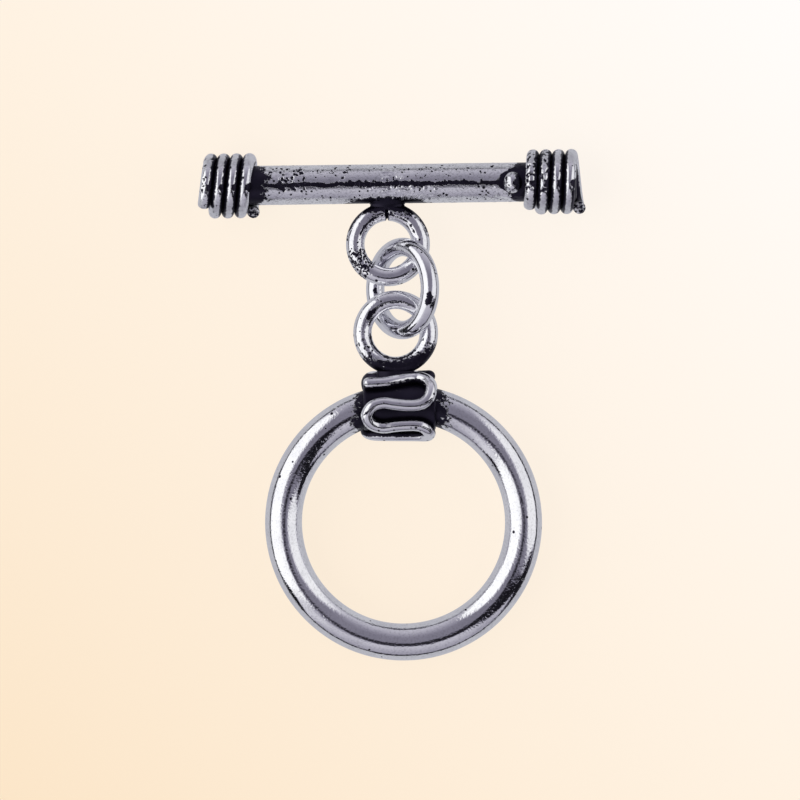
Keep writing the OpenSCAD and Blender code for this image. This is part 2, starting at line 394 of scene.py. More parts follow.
# the jump ring is the brightest, with no specks
tumbledBrightSilver = {
    **polishedSilver, 'offset': (1, 9, 4), 'metal': '#efeff4', 'metalDeep': '#e2e2e7', 'specks': 0.0,
    'polish': (0.03, 0.06), 'scuffDepth': 0.001, 'haze': 0.06, 'dentDepth': 0.016}
# the collar kept the most black, and its edge is finely ragged
sulphurBlackSilver = {
    **polishedSilver, 'offset': (5, 2, 8), 'raggedSize': 0.22, 'specks': 0.02, 'speckSpacing': 0.2,
    'dentSize': 0.8, 'scuffDepth': 0.003, 'satin': 0.12, 'satinHaze': -0.1}


# A Mix node takes numbers at 2 and 3 and colours at 6 and 7, and gives its colour at 2
def makeSilver(name, look):
    material = bpy.data.materials.new(name)
    material.use_nodes = True
    tree = material.node_tree
    tree.nodes.clear()
    place = addNode(tree, 'ShaderNodeTexCoord')
    metric = addNode(tree, 'ShaderNodeMapping', {'Vector': place.outputs['Object'], 'Scale': (1 / mm,) * 3,
                                                 'Location': look['offset']})
    # the tarnish mask holds real sulphide and also the painted shade and painted dark reflections that some
    # pieces paint into it; the black film colour shows both
    tarnishAndPaintedShading, pitted, satin, along, around = (
        addNode(tree, 'ShaderNodeAttribute', attribute_name=painted).outputs['Fac']
        for painted in ('tarnishAndPaintedShading', 'pitted', 'satin', 'along', 'around'))
    haziness, clouds, dents, scuffs = (
        addNode(tree, 'ShaderNodeTexNoise',
                {'Vector': metric, 'Scale': 1 / look[size], 'Detail': detail}).outputs['Fac']
        for size, detail in (('hazeSize', 1.0), ('cloudSize', 3.0), ('dentSize', 2.0), ('scuffSize', 1.0)))

    # ragged edge between polished metal and the black film
    ragged = addNode(tree, 'ShaderNodeTexNoise', {
        'Vector': metric, 'Scale': 1 / look['raggedSize'], 'Detail': 5.0, 'Roughness': 0.7})
    centred = addNode(tree, 'ShaderNodeMath', {0: ragged.outputs['Fac'], 1: 0.5}, operation='SUBTRACT')
    frayed = addNode(tree, 'ShaderNodeMath', {0: centred, 1: look['ragged'], 2: tarnishAndPaintedShading},
                     operation='MULTIPLY_ADD')
    film = addNode(tree, 'ShaderNodeMapRange', {'Value': frayed, 'From Min': 0.5 - look['edge'],
                                                'From Max': 0.5 + look['edge']})

    # black specks in the pores
    cells = addNode(tree, 'ShaderNodeTexVoronoi', {'Vector': metric, 'Scale': 1 / look['speckSpacing']})
    cellDraw = addNode(tree, 'ShaderNodeSeparateColor', {'Color': cells.outputs['Color']})
    speckRadius = addNode(tree, 'ShaderNodeMapRange', {
        'Value': cellDraw.outputs['Red'], 'To Min': look['speckRadius'][0], 'To Max': look['speckRadius'][1]})
    inside = addNode(tree, 'ShaderNodeMath', {0: speckRadius, 1: cells.outputs['Distance']},
                     operation='SUBTRACT')
    spot = addNode(tree, 'ShaderNodeMapRange', {'Value': inside, 'From Max': look['speckEdge']})
    share = addNode(tree, 'ShaderNodeMath', {0: pitted, 1: look['specks']}, operation='ADD')
    chosen = addNode(tree, 'ShaderNodeMath', {0: cellDraw.outputs['Green'], 1: share}, operation='LESS_THAN')
    speck = addNode(tree, 'ShaderNodeMath', {0: spot, 1: chosen}, operation='MULTIPLY')
    marked = addNode(tree, 'ShaderNodeMath', {0: film, 1: speck}, operation='MAXIMUM')

    # sulphide left in the finest scratches, a haze of grey grains
    hazeMost = addNode(tree, 'ShaderNodeMath', {0: satin, 1: look['satinHaze'], 2: look['haze']},
                       operation='MULTIPLY_ADD')
    haze = addNode(tree, 'ShaderNodeMapRange', {
        'Value': haziness, 'From Min': look['hazeSpread'][0], 'From Max': look['hazeSpread'][1],
        'To Max': hazeMost})
    black = addNode(tree, 'ShaderNodeMath', {0: marked, 1: haze}, operation='MAXIMUM')

    # draw lines along the wire
    grain = addNode(tree, 'ShaderNodeCombineXYZ', {'X': along, 'Y': around})
    perLine = (1 / look['lineLength'], 1 / look['lineWidth'], 1)
    drawn = addNode(tree, 'ShaderNodeMapping', {'Vector': grain, 'Scale': perLine})
    lines = addNode(tree, 'ShaderNodeTexNoise', {
        'Vector': drawn, 'Scale': 1.0, 'Detail': 3.0, 'Roughness': 0.6}).outputs['Fac']

    # metal and film, both softly clouded from handling
    low, high = look['toneSpread']
    tone = addNode(tree, 'ShaderNodeMapRange', {'Value': clouds, 'From Min': low, 'From Max': high})
    metalTone = addNode(tree, 'ShaderNodeMix', {
        0: tone, 6: linearColour(look['metalDeep']), 7: linearColour(look['metal'])}, data_type='RGBA')
    filmTone = addNode(tree, 'ShaderNodeMix', {
        0: tone, 6: linearColour(look['film']), 7: linearColour(look['filmLight'])}, data_type='RGBA')
    colour = addNode(tree, 'ShaderNodeMix', {0: black, 6: metalTone.outputs[2], 7: filmTone.outputs[2]},
                     data_type='RGBA')
    metallic = addNode(tree, 'ShaderNodeMapRange', {
        'Value': black, 'To Min': 1.0, 'To Max': look['filmMetal']})
    polish = addNode(tree, 'ShaderNodeMapRange', {
        'Value': lines, 'From Min': low, 'From Max': high,
        'To Min': look['polish'][0], 'To Max': look['polish'][1]})
    worn = addNode(tree, 'ShaderNodeMath', {0: satin, 1: look['satin'], 2: polish}, operation='MULTIPLY_ADD')
    roughness = addNode(tree, 'ShaderNodeMix', {0: black, 2: worn, 3: look['filmRoughness']},
                        data_type='FLOAT')

    relief = None
    for height, depth in ((lines, 'lineDepth'), (dents, 'dentDepth'), (scuffs, 'scuffDepth'),
                          (black.outputs[0], 'speckDepth')):
        values = {'Height': height, 'Strength': 1.0, 'Distance': look[depth] * mm}
        if relief:
            values['Normal'] = relief
        relief = addNode(tree, 'ShaderNodeBump', values, invert=depth == 'speckDepth')
    shader = addNode(tree, 'ShaderNodeBsdfPrincipled', {
        'Base Color': colour.outputs[2], 'Metallic': metallic, 'Roughness': roughness, 'Normal': relief})
    addNode(tree, 'ShaderNodeOutputMaterial', {'Surface': shader})
    return material


oxidisedSilver = makeSilver('oxidisedSilver', polishedSilver)
coilSilver = makeSilver('woundSilver', woundSilver)
linkSilver = makeSilver('tumbledBrightSilver', tumbledBrightSilver)
collarSilver = makeSilver('sulphurBlackSilver', sulphurBlackSilver)
print('finishes made')


# Where the frame's pieces lie
def cadBoxOf(node):
    return [np.array(corner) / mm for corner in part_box(node)]


hoopLow, hoopHigh = cadBoxOf('hoop')
linkLow, linkHigh = cadBoxOf('link')
leftMiddle, rightMiddle = (np.mean(cadBoxOf(node), 0) for node in ('left_coil', 'right_coil'))

# Hoop
hoopLook = {
    'wire': {'Wire Diameter': 2.4, 'Sides': 72, 'Step': 0.09, 'Unevenness': 0.02, 'Wander': 0.03,
             'Ripple': 5, 'Seed': 3},
    'start': 90,
    # sulphide beside the collar, a little further on the right and on the wire's crest
    'black': 0.95, 'blackFade': (-0.3, 1.6), 'collarFrom': -2.6, 'collarTo': 2.1, 'onRight': 0.8,
    'onSides': 0.25, 'fingers': (61, 0.06), 'specks': 0.06, 'specksFade': (1, 3.5)}
hoopWire = hoopLook['wire']['Wire Diameter']
hoopRadius = (hoopHigh[0] - hoopLow[0] - hoopWire) / 2
hoopTilt = math.asin((hoopHigh[2] - hoopLow[2] - hoopWire) / 2 / hoopRadius)
hoopPlace = placed((hoopLow + hoopHigh) / 2, roll=hoopTilt)


def makeHoop():
    hoop = sweep('hoop', ringPath(hoopRadius, hoopLook['start']), True, hoopLook['wire'], oxidisedSilver)
    x, y, _ = pointsOf(hoop.data).T
    outFromCrest = (np.hypot(x, y) - hoopRadius) / (hoopWire / 2)
    beside = np.maximum(hoopLook['collarFrom'] - x, (x - hoopLook['collarTo']) * hoopLook['onRight'])
    past = beside + hoopLook['onSides'] * outFromCrest ** 2
    past -= fingers(2 * outFromCrest + x, *hoopLook['fingers'])
    paint(hoop.data, 'tarnishAndPaintedShading', (y > 0) * hoopLook['black'] * fade(past, *hoopLook['blackFade']))
    paint(hoop.data, 'pitted', (y > 0) * hoopLook['specks'] * fade(past, *hoopLook['specksFade']))
    finishPiece(hoop, 'hoop', oxidisedSilver, hoopPlace)


makeHoop()

# Link
linkLook = {
    'wire': {'Wire Diameter': 1.2, 'Sides': 48, 'Step': 0.06, 'Unevenness': 0.02, 'Wander': 0.02,
             'Ripple': 2.5, 'Seed': 11},
    'start': 200, 'specks': 0.01,
    # painted dark reflections on the sides that face up: azimuth, half length and half width, in degrees
    'paintedReflections': [(-13, 9, 26), (-177, 6, 14)]}


def makeLink():
    wire = linkLook['wire']['Wire Diameter']
    radius = (linkHigh[1] - linkLow[1] - wire) / 2
    lean = math.acos((linkHigh[0] - linkLow[0] - wire) / 2 / radius)
    link = sweep('link', ringPath(radius, linkLook['start']), True, linkLook['wire'], linkSilver)
    x, y, z = pointsOf(link.data).T
    azimuth = np.degrees(np.arctan2(y, x))
    side = np.degrees(np.arctan2(z, np.hypot(x, y) - radius))
    paintedReflection = np.zeros(len(x))
    for middle, long, wide in linkLook['paintedReflections']:
        upward = 90 - math.degrees(lean) * math.cos(math.radians(middle))
        away = ((azimuth - middle + 180) % 360 - 180) / long
        paintedReflection = np.maximum(paintedReflection, np.exp(-away ** 4) * hump(side, upward, wide))
    # the painted dark reflections go into the tarnish mask
    paint(link.data, 'tarnishAndPaintedShading', paintedReflection)
    paint(link.data, 'pitted', linkLook['specks'])
    finishPiece(link, 'link', linkSilver, placed((linkLow + linkHigh) / 2, lean=-lean))


makeLink()

# Bar: rod, eye, solder and grain
barLook = {
    'rod': {'Wire Diameter': 2.55, 'Sides': 144, 'Step': 0.06, 'Unevenness': 0.015, 'Wander': 0.02,
            'Ripple': 3, 'Seed': 5, 'End Rounding': 0.2, 'Blunt End': 0.85},
    'rodLength': 24, 'rodPoints': 60, 'roll': 2,
    'eye': {'Wire Diameter': 1.2, 'Sides': 64, 'Step': 0.038, 'Unevenness': 0.03, 'Wander': 0.03,
            'Ripple': 1.6, 'Seed': 8},
    'eyeOuter': 5.45, 'eyeStart': 250, 'eyeX': -0.28, 'eyeSink': 0.06,
    # the eye's open butt joint, with its depth as a share of the wire
    'seam': 91, 'seamWidth': 0.09, 'seamDepth': 0.3, 'seamWaver': (0.012, 9), 'seamBlack': 0.17,
    # solder between rod and eye: place across the rod, half width and half thickness
    'neckRows': [(-0.95, 1.35, 0.85), (-1.15, 1.3, 0.72), (-1.28, 1.17, 0.62), (-1.36, 1.1, 0.58),
                 (-1.5, 1.16, 0.56), (-1.7, 1.2, 0.5)],
    'grainX': 7.85, 'grainY': -0.1, 'grainSize': 1.2, 'grainStretch': 1.15, 'grainLumps': (-0.05, 0.06),
    # pits, in scatter's rows: the place is x on the rod, azimuth on the eye and a share of its radius on the
    # grain, and the side is in degrees from the front towards the top edge, or outwards on the eye
    'rodPits': [(-7.3, -5.6, -20, 50, 42, 0.05, 0.12), (-8.0, -2.5, 5, 60, 24, 0.05, 0.1),
                (-5.0, 5.5, 0, 60, 28, 0.04, 0.08), (-3.1, 2.0, -14, 8, 80, 0.04, 0.09),
                (1.5, 6.8, -60, 60, 40, 0.04, 0.09), (-8.2, -1.0, -60, -10, 22, 0.04, 0.08),
                (-8, 8, 80, 280, 90, 0.04, 0.1)],
    'eyePits': [(190, 236, -80, 85, 190, 0.04, 0.085), (48, 84, -10, 75, 50, 0.03, 0.07),
                (170, 200, -60, 40, 16, 0.03, 0.06), (100, 150, -60, 20, 20, 0.03, 0.06),
                (0, 360, -90, 90, 30, 0.02, 0.05), (0, 360, 90, 270, 40, 0.03, 0.08)],
    'grainPits': [(-0.8, 0.5, -70, 70, 16, 0.04, 0.09)],
    'crumbs': [(-1.6, 2.9, -62, -8, 75, 0.06, 0.11), (-0.8, 0.9, 12, 48, 26, 0.06, 0.11),
               (-7.3, -6.2, -15, 45, 24, 0.06, 0.11), (6.2, 8.5, -65, -15, 40, 0.05, 0.1),
               (7.3, 8.5, 20, 70, 24, 0.05, 0.1)],
    'seeds': {'grain': 4, 'rodPits': 21, 'eyePits': 22, 'grainPits': 23, 'crumbs': 24},
    # sulphide on the rod: beside the windings, in a wedge before the grain and round the solder; and a streak
    # that wavers along the front, a painted dark reflection with some sulphide
    'black': 0.95,
    'leftBlack': {'x': -8.7, 'fade': (-0.4, 1.5), 'fingers': (62, 0.14)},
    'rightBlack': {'x': 8.45, 'fade': (-0.5, 1.1), 'fingers': (63, 0.05), 'most': 0.9},
    'grainBlack': {'before': 0.95, 'y': -0.05, 'slope': 1.3, 'fade': (0, 0.7), 'front': (0, 0.5),
                   'fingers': (64, 0.06)},
    'solderBlack': {'y': -1.3, 'reach': (2.9, 0.66, 1.25), 'fade': (0.5, 1.4)},
    # waves are a height, how often, and a start
    'sulphideAndReflectionStreak': {'y': -0.08, 'width': 0.18, 'reach': 8, 'most': 0.93, 'uneven': (0.06, 2.7, 2),
               'waves': [(0.03, 1.9, 0), (0.02, 5.3, 1)]},
    # sulphide on the eye: its outer rim near the rod, its top, and a line inside, darkest at its upper left;
    # and painted shade on the side of the grain towards the coil
    'rimBlack': {'most': 0.85, 'from': 0.28, 'top': (-0.4, 1.2)},
    'topBlack': {'reach': 0.42, 'fade': (2.5, 3.5)},
    'lineBlack': {'least': 0.6, 'more': 0.22, 'azimuth': (142, 22), 'inward': -0.24, 'width': 0.11,
                  'top': (0, 0.8)},
    'grainShade': {'slope': 0.6, 'fade': (-0.3, 0.3)},
    # the eye and the grain have their own paint: how far off the rod it starts, and goes beyond their outline
    'eyeEdge': (0.02, 0.1), 'grainEdge': (0.06, 0.05),
    'specks': {'grain': 0.3, 'eye': 0.03, 'rod': 0.05}}
barMiddle = (leftMiddle + rightMiddle) / 2
barMiddle[0] = 0
barAlong = rightMiddle - leftMiddle
barTurn = math.atan2(barAlong[1], barAlong[0])
barPlace = placed(barMiddle, turn=barTurn, roll=-math.radians(barLook['roll']))
rodRadius = barLook['rod']['Wire Diameter'] / 2
eyeWire = barLook['eye']['Wire Diameter']
eyeRadius = (barLook['eyeOuter'] - eyeWire) / 2
eyeMiddle = np.array([barLook['eyeX'], -(rodRadius + barLook['eyeOuter'] / 2 - barLook['eyeSink']), 0])
grainMiddle = np.array([barLook['grainX'], barLook['grainY'], rodRadius])
print('bar lies at', barMiddle.round(3), 'turned', round(math.degrees(barTurn), 3))


def ovalRings(rows, sides=40):
    angles = np.linspace(0, 2 * np.pi, sides, endpoint=False)
    return [[(wide * np.cos(a), y, thick * np.sin(a)) for a in angles] for y, wide, thick in rows]


# A soldered ball: rings from pole to pole, a little lumpy
def grainRings(sides=40, rows=24, lumpCount=9):
    draw = random.Random(barLook['seeds']['grain'])
    lumps = [(np.array([draw.gauss(0, 1) for _ in range(3)]), draw.uniform(*barLook['grainLumps']))
             for _ in range(lumpCount)]
    rings = []
    for i in range(1, rows):
        polar = math.pi * i / rows
        ring = []
        for k in range(sides):
            a = 2 * math.pi * k / sides
            way = np.array([math.sin(polar) * math.cos(a), math.sin(polar) * math.sin(a), math.cos(polar)])
            lump = sum(height * max(0, way @ towards / np.linalg.norm(towards)) ** 4
                       for towards, height in lumps)
            ring.append(way * barLook['grainSize'] / 2 * (1 + lump) * (1, barLook['grainStretch'], 1))
        rings.append(ring)
    return rings


# The open butt joint of the eye, as a thin groove across its wire
def cutSeam(piece):
    points = pointsOf(piece.data)
    azimuth = np.arctan2(points[:, 1], points[:, 0])
    high, often = barLook['seamWaver']
    away = azimuth - math.radians(barLook['seam']) + high * np.sin(often * points[:, 2])
    core = eyeRadius * np.stack([np.cos(azimuth), np.sin(azimuth), 0 * azimuth], 1)
    share = barLook['seamDepth'] * hump(eyeRadius * away, 0, barLook['seamWidth'])
    movePoints(piece.data, points + (core - points) * share[:, None])


def rodSurface(x, side):
    return np.array([x, rodRadius * math.sin(side), rodRadius * math.cos(side)])


def grainSurface(x, side):
    across = math.sqrt(1 - x * x)
    way = np.array([x, across * math.sin(side) * barLook['grainStretch'], across * math.cos(side)])
    return way * barLook['grainSize'] / 2 + grainMiddle


def ringSurface(middle, radius, wire):
    def surface(azimuth, side):
        a, reach = math.radians(azimuth), radius + wire / 2 * math.sin(side)
        return middle + np.array([reach * math.cos(a), reach * math.sin(a), wire / 2 * math.cos(side)])
    return surface


def rodSulphideAndReflection(x, y, z):
    turn = np.arctan2(y, z)
    look = barLook['leftBlack']
    left = fade(x - look['x'] - fingers(turn, *look['fingers']), *look['fade'])
    look = barLook['rightBlack']
    right = look['most'] * fade(look['x'] - x - fingers(turn, *look['fingers']), *look['fade'])
    look = barLook['grainBlack']
    wedge = barLook['grainX'] - look['before'] - x + look['slope'] * np.abs(y - look['y'])
    wedge -= fingers(turn, *look['fingers'])
    wedge = fade(wedge, *look['fade']) * ramp(z, *look['front'])
    look = barLook['solderBlack']
    long, across, deep = look['reach']
    solder = np.sqrt(((x - eyeMiddle[0]) / long) ** 2 + ((y - look['y']) / across) ** 2 + (z / deep) ** 2)
    beside = barLook['black'] * np.maximum.reduce([left, right, wedge, fade(solder, *look['fade'])])
    # the streak along the front is a painted dark reflection with some sulphide
    look = barLook['sulphideAndReflectionStreak']
    middle = look['y'] + sum(high * np.sin(often * x + start) for high, often, start in look['waves'])
    high, often, start = look['uneven']
    sulphideAndReflectionStreak = (look['most'] + high * np.sin(often * x + start)) * hump(y, middle, look['width'])
    return np.maximum(beside, sulphideAndReflectionStreak * (z > 0) * (np.abs(x) < look['reach']))


def barEyeSulphide(fromEye):
    reach, up = np.hypot(fromEye[:, 0], fromEye[:, 1]), fromEye[:, 1]
    azimuth = np.degrees(np.arctan2(fromEye[:, 1], fromEye[:, 0]))
    look = barLook['rimBlack']
    outerRim = ramp(reach, eyeRadius + look['from'], barLook['eyeOuter'] / 2) * ramp(up, *look['top'])
    look = barLook['topBlack']
    eyeTop = ramp(up + look['reach'] * reach, *look['fade'])
    seam = hump(eyeRadius * np.radians(azimuth - barLook['seam']), 0, barLook['seamBlack']) * (up > 0)
    look = barLook['lineBlack']
    line = look['least'] + look['more'] * hump(azimuth, *look['azimuth'])
    line *= hump(reach - eyeRadius, look['inward'], look['width']) * ramp(up, *look['top'])
    return np.maximum.reduce([barLook['rimBlack']['most'] * outerRim, line, eyeTop, seam])


def makeBar():
    half = barLook['rodLength'] / 2
    rodPath = [(x, 0, 0) for x in np.linspace(-half, half, barLook['rodPoints'])]
    rod = sweep('toggleBar', rodPath, False, barLook['rod'], oxidisedSilver)
    eye = sweep('barEye', ringPath(eyeRadius, barLook['eyeStart']), True, barLook['eye'], oxidisedSilver)
    cutSeam(eye)
    neck = skinOver('neck', ovalRings(barLook['neckRows'])[::-1])
    grain = skinOver('grain', grainRings()[::-1])
    toggleBar = weld([rod, moved(eye, eyeMiddle), moved(neck, (barLook['eyeX'], 0, 0)),
                      moved(grain, grainMiddle)])
    mesh = toggleBar.data
    eyeSurface = ringSurface(eyeMiddle, eyeRadius, eyeWire)
    pits = []
    for kind, surface, depth in [('rodPits', rodSurface, 'depth'), ('eyePits', eyeSurface, 'depth'),
                                 ('grainPits', grainSurface, 'depth'), ('crumbs', rodSurface, 'crumbDepth')]:
        pits += scatter(barLook[kind], surface, barLook['seeds'][kind], pitLook[depth])
    pitDark = sinkPits(mesh, pits)

    at = pointsOf(mesh)
    x, y, z = at.T
    fromEye = at - eyeMiddle
    below, beyond = barLook['eyeEdge']
    onEye = y < -rodRadius - below
    onEye &= np.hypot(fromEye[:, 0], fromEye[:, 1]) < barLook['eyeOuter'] / 2 + beyond
    grainSide = (y - barLook['grainY']) / barLook['grainStretch']
    above, beyond = barLook['grainEdge']
    onGrain = np.hypot(x - barLook['grainX'], grainSide) < barLook['grainSize'] / 2 + beyond
    onGrain &= z > rodRadius + above
    # painted shade on the grain's side towards the coil
    look = barLook['grainShade']
    grainPaintedShade = ramp((x - barLook['grainX']) - look['slope'] * np.abs(grainSide), *look['fade'])
    dark = np.where(onGrain, grainPaintedShade, np.where(onEye, barEyeSulphide(fromEye), rodSulphideAndReflection(x, y, z)))
    specks = barLook['specks']
    paint(mesh, 'tarnishAndPaintedShading', np.maximum(dark, pitDark))
    paint(mesh, 'pitted', np.where(onGrain, specks['grain'], np.where(onEye, specks['eye'], specks['rod'])))
    paint(mesh, 'satin', ~onEye)
    finishPiece(toggleBar, 'toggle_bar', oxidisedSilver, barPlace)


makeBar()

# Coils
coilLook = {
    'wire': {'Wire Diameter': 0.8, 'Sides': 44, 'Step': 0.06, 'Unevenness': 0.05, 'Wander': 0.03,
             'Ripple': 1.2, 'End Rounding': 0.1, 'Blunt End': 0.78},
    'turns': 4, 'points': 640, 'gap': 0.03, 'fit': 0.04, 'barLength': 25.2,
    # dents are turns that they reach over, from and to round the coil in degrees, how many, and two radii.
    # Hammered is how many more specks the first turns have, and shade is the painted shade under the last
    # turn
    'leftCoil': {'node': 'left_coil', 'startAngle': 40, 'lean': 3.5, 'seed': 31,
                 'hammered': 0.0, 'shade': 0.0,
                 'dents': [(1.9, -25, 75, 16, 0.07, 0.16), (4, -80, 80, 24, 0.04, 0.08)]},
    'rightCoil': {'node': 'right_coil', 'startAngle': 25, 'lean': -1, 'seed': 37,
                  'hammered': 0.34, 'shade': 1.0,
                  'dents': [(1.9, -25, 75, 80, 0.07, 0.16), (4, -80, 80, 24, 0.04, 0.08)]},
    'dentsBefore': 0.3, 'dentHeight': 0.38, 'dentBlack': 0.8,
    'specks': 0.05, 'hammeredTurns': 2.3, 'hammeredFrom': -0.9,
    # sulphide beside the wire's crest, inside the coil, and a grey film on the cut end
    'crest': (0.09, 0.29), 'inside': (-0.3, -0.05), 'cutEnd': 0.05, 'cutBlack': 0.55,
    # the outer sides of the first and last turn stay bright, and the back of the last turn is black except on
    # its right
    'free': 1, 'tail': (0.02, 0.45), 'tailEdge': (0.2, 0.3),
    # a painted dark reflection, with some sulphide, at the front of each turn
    'reflectionFleck': {'half': 0.17, 'slope': 0.4, 'y': -0.23, 'left': 0.02, 'leftSlope': 1.3, 'fade': (-0.1, 0.1)},
    # where the painted shade under the last turn lies
    'under': {'side': (0.08, 0.24), 'turns': (0.4, 0.95), 'down': (0.3, 0.8)},
    # the tops and bottoms of the turns are the dullest
    'satin': (0.8, 1.3)}
coilWire = coilLook['wire']['Wire Diameter']
coilRadius = rodRadius + coilLook['fit'] + coilWire / 2
coilPitch = coilWire + coilLook['gap']


def coilSurface(x, side):
    reach = coilRadius + coilLook['dentHeight'] * coilWire
    return np.array([x, reach * math.sin(side), reach * math.cos(side)])


def makeCoil(name):
    look = coilLook[name]
    skipped, slope = look['startAngle'] / 360, math.tan(math.radians(look['lean']))
    outermost = (coilLook['barLength'] - coilWire) / 2
    if name == 'leftCoil':
        foot = coilRadius * math.cos(math.radians(look['startAngle'])) * slope - coilPitch * skipped
        start = max(0, foot) - outermost
    else:
        start = outermost - coilLook['turns'] * coilPitch - max(0, -coilRadius * slope)
    coil = runTree(makePiece(name, [(0, 0, 0)]), winding, {
        **coilLook['wire'], 'Turns': float(coilLook['turns']), 'Points': coilLook['points'],
        'Pitch': coilPitch, 'Winding Radius': coilRadius, 'Start Angle': math.radians(look['startAngle']),
        'Lean': slope, 'Seed': look['seed']}, coilSilver)
    moved(coil, (start, 0, 0))

    # where each point is: in turns from both ends, beside its wire's middle, and out from it
    x, y, z = pointsOf(coil.data).T
    run = alongWire(coil.data)
    turns = run / (run.max() / (coilLook['turns'] - skipped)) + skipped
    left = coilLook['turns'] - turns
    sideways = x - (start + coilPitch * turns - coilRadius * np.cos(2 * np.pi * turns) * slope)
    height = np.hypot(y, z) - coilRadius

    free = np.where(sideways > 0, left < coilLook['free'], turns < coilLook['free'] + skipped)
    groove = ramp(np.abs(sideways), *coilLook['crest']) * ~free
    lastBack = (left > coilLook['tail'][0]) & (left < coilLook['tail'][1])
    tail = fade(sideways, *coilLook['tailEdge']) * lastBack
    inner = fade(height, *coilLook['inside']) * np.where(lastBack, tail, 1)
    # a painted dark reflection, with some sulphide, at the front of each turn, joined to the groove on its
    # right
    reflectionFleckLook = coilLook['reflectionFleck']
    reflectionFleck = np.minimum(reflectionFleckLook['half'] + reflectionFleckLook['slope'] * sideways - np.abs(y - reflectionFleckLook['y']),
                       reflectionFleckLook['leftSlope'] * (sideways - reflectionFleckLook['left']))
    reflectionFleck = ramp(reflectionFleck, *reflectionFleckLook['fade']) * (z > 0)
    # painted shade on the lower right of the last turn
    paintedShadeLook = coilLook['under']
    under = look['shade'] * ramp(sideways, *paintedShadeLook['side']) * ramp(-y, *paintedShadeLook['down'])
    under *= (left > paintedShadeLook['turns'][0]) & (left < paintedShadeLook['turns'][1])

    dents = [(start - coilLook['dentsBefore'], start + reach * coilPitch, *rest)
             for reach, *rest in look['dents']]
    pitDark = coilLook['dentBlack'] * sinkPits(coil.data, scatter(dents, coilSurface, look['seed']))
    dark = np.maximum.reduce([groove, inner, tail, reflectionFleck, under, pitDark])
    paint(coil.data, 'tarnishAndPaintedShading', np.where(left < coilLook['cutEnd'], coilLook['cutBlack'], dark))
    hammered = look['hammered'] * (turns < coilLook['hammeredTurns']) * (y > coilLook['hammeredFrom'])
    paint(coil.data, 'pitted', coilLook['specks'] + hammered)
    paint(coil.data, 'satin', ramp(np.abs(y), *coilLook['satin']))
    finishPiece(coil, look['node'], coilSilver, barPlace)


for name in ('leftCoil', 'rightCoil'):
    makeCoil(name)

# Collar: strip, serpentine wire, eye and solder
collarLook = {
    'length': 4.7, 'outer': 3.2, 'fit': 0.03, 'shift': -0.25, 'rim': 0.16, 'sink': 0.08,
    'wire': {'Wire Diameter': 0.8, 'Sides': 44, 'Step': 0.05, 'Unevenness': 0.04, 'Wander': 0.02,
             'Ripple': 1.5, 'Seed': 41, 'End Rounding': 0.38, 'Blunt End': 0.3},
    'eye': {'Wire Diameter': 1.2, 'Sides': 44, 'Step': 0.05, 'Unevenness': 0.03, 'Wander': 0.03,
            'Ripple': 1.6, 'Seed': 43},
    'eyeOuter': 5.5, 'eyeStart': 270, 'eyeShift': -0.26, 'eyeLift': 0.4, 'eyeEdge': (0.04, 0.25),
    'neckRows': [(1.45, 1.3, 0.75), (1.7, 1.25, 0.62), (1.9, 1.2, 0.58), (2.1, 1.25, 0.56), (2.35, 1.2, 0.5)],
    'eyePits': [(180, 225, -60, 60, 16, 0.04, 0.09), (300, 350, -40, 60, 14, 0.04, 0.09),
                (0, 360, -90, 270, 40, 0.03, 0.07)],
    'pitSeed': 51, 'specks': {'eye': 0.03, 'strip': 0.05},
    # sulphide on the strip and up the wire's sides, and a painted dark reflection in a thin line below the
    # wire's crest.
    # The last strand is so long, bright only above a height, and black at its end
    'stripBlack': 0.9, 'wireBlack': (-0.08, 0.26),
    'reflectionLine': {'most': 0.8, 'tilt': -0.12, 'width': 0.1, 'facing': 0.7},
    'lastStrand': 5.2, 'lastBlack': (2.0, 2.16), 'lastEnd': 1.1,
    # on the eye: below at its solder, in an arc over its top that widens and darkens to the left, and along
    # its lower inner edge
    'footBlack': {'most': 0.8, 'outward': 0.55, 'right': 0.18, 'fade': (0.8, 2.0)},
    'arc': {'outward': -0.12, 'width': 0.08, 'wider': 0.14, 'widens': (105, 140), 'from': (40, 70),
            'to': (150, 162), 'least': 0.66, 'more': 0.3, 'darkest': (142, 14)},
    'innerRim': {'most': 0.8, 'outward': -0.5, 'width': 0.09, 'below': (20, 50)}}
# the serpentine's bends as the collar is turned: place along the hoop from the collar's middle, and angle
# round the collar from the front towards the bar, in degrees
bends = [(-2.62, 53), (-2.1, 53), (-1.1, 56.5), (-0.1, 67), (0.85, 76), (1.5, 64), (1.78, 44), (1.68, 23),
         (1.33, 11), (0.85, 5.5), (0.1, 5), (-0.6, 7), (-1.35, 9.5), (-2.0, 3), (-2.36, -14), (-2.08, -33),
         (-1.35, -42), (-0.6, -38.5), (0.1, -36), (0.85, -36), (1.35, -42.5), (1.68, -62), (1.4, -84),
         (0.6, -93), (-0.4, -95), (-1.6, -97), (-2.2, -106), (-2.4, -122), (-2.1, -140), (-1.2, -147),
         (0.2, -146), (1.4, -148), (1.75, -160), (1.8, -178), (1.5, -192), (0.4, -197), (-1.2, -196),
         (-2.1, -205), (-2.35, -222), (-2.25, -240), (-1.9, -252), (-1.0, -256), (0.2, -256), (1.1, -257),
         (1.6, -263), (1.8, -274)]
stepsPerBend = 12
collarWire, ringEyeWire = (collarLook[part]['Wire Diameter'] for part in ('wire', 'eye'))
collarAxis = (hoopRadius + math.sqrt(hoopRadius ** 2 - (collarLook['length'] / 2) ** 2)) / 2
stripRadius = collarLook['outer'] / 2
channelRadius = hoopWire / 2 + collarLook['fit']
serpentineRadius = stripRadius + collarWire / 2 - collarLook['sink']
ringEyeRadius = (collarLook['eyeOuter'] - ringEyeWire) / 2
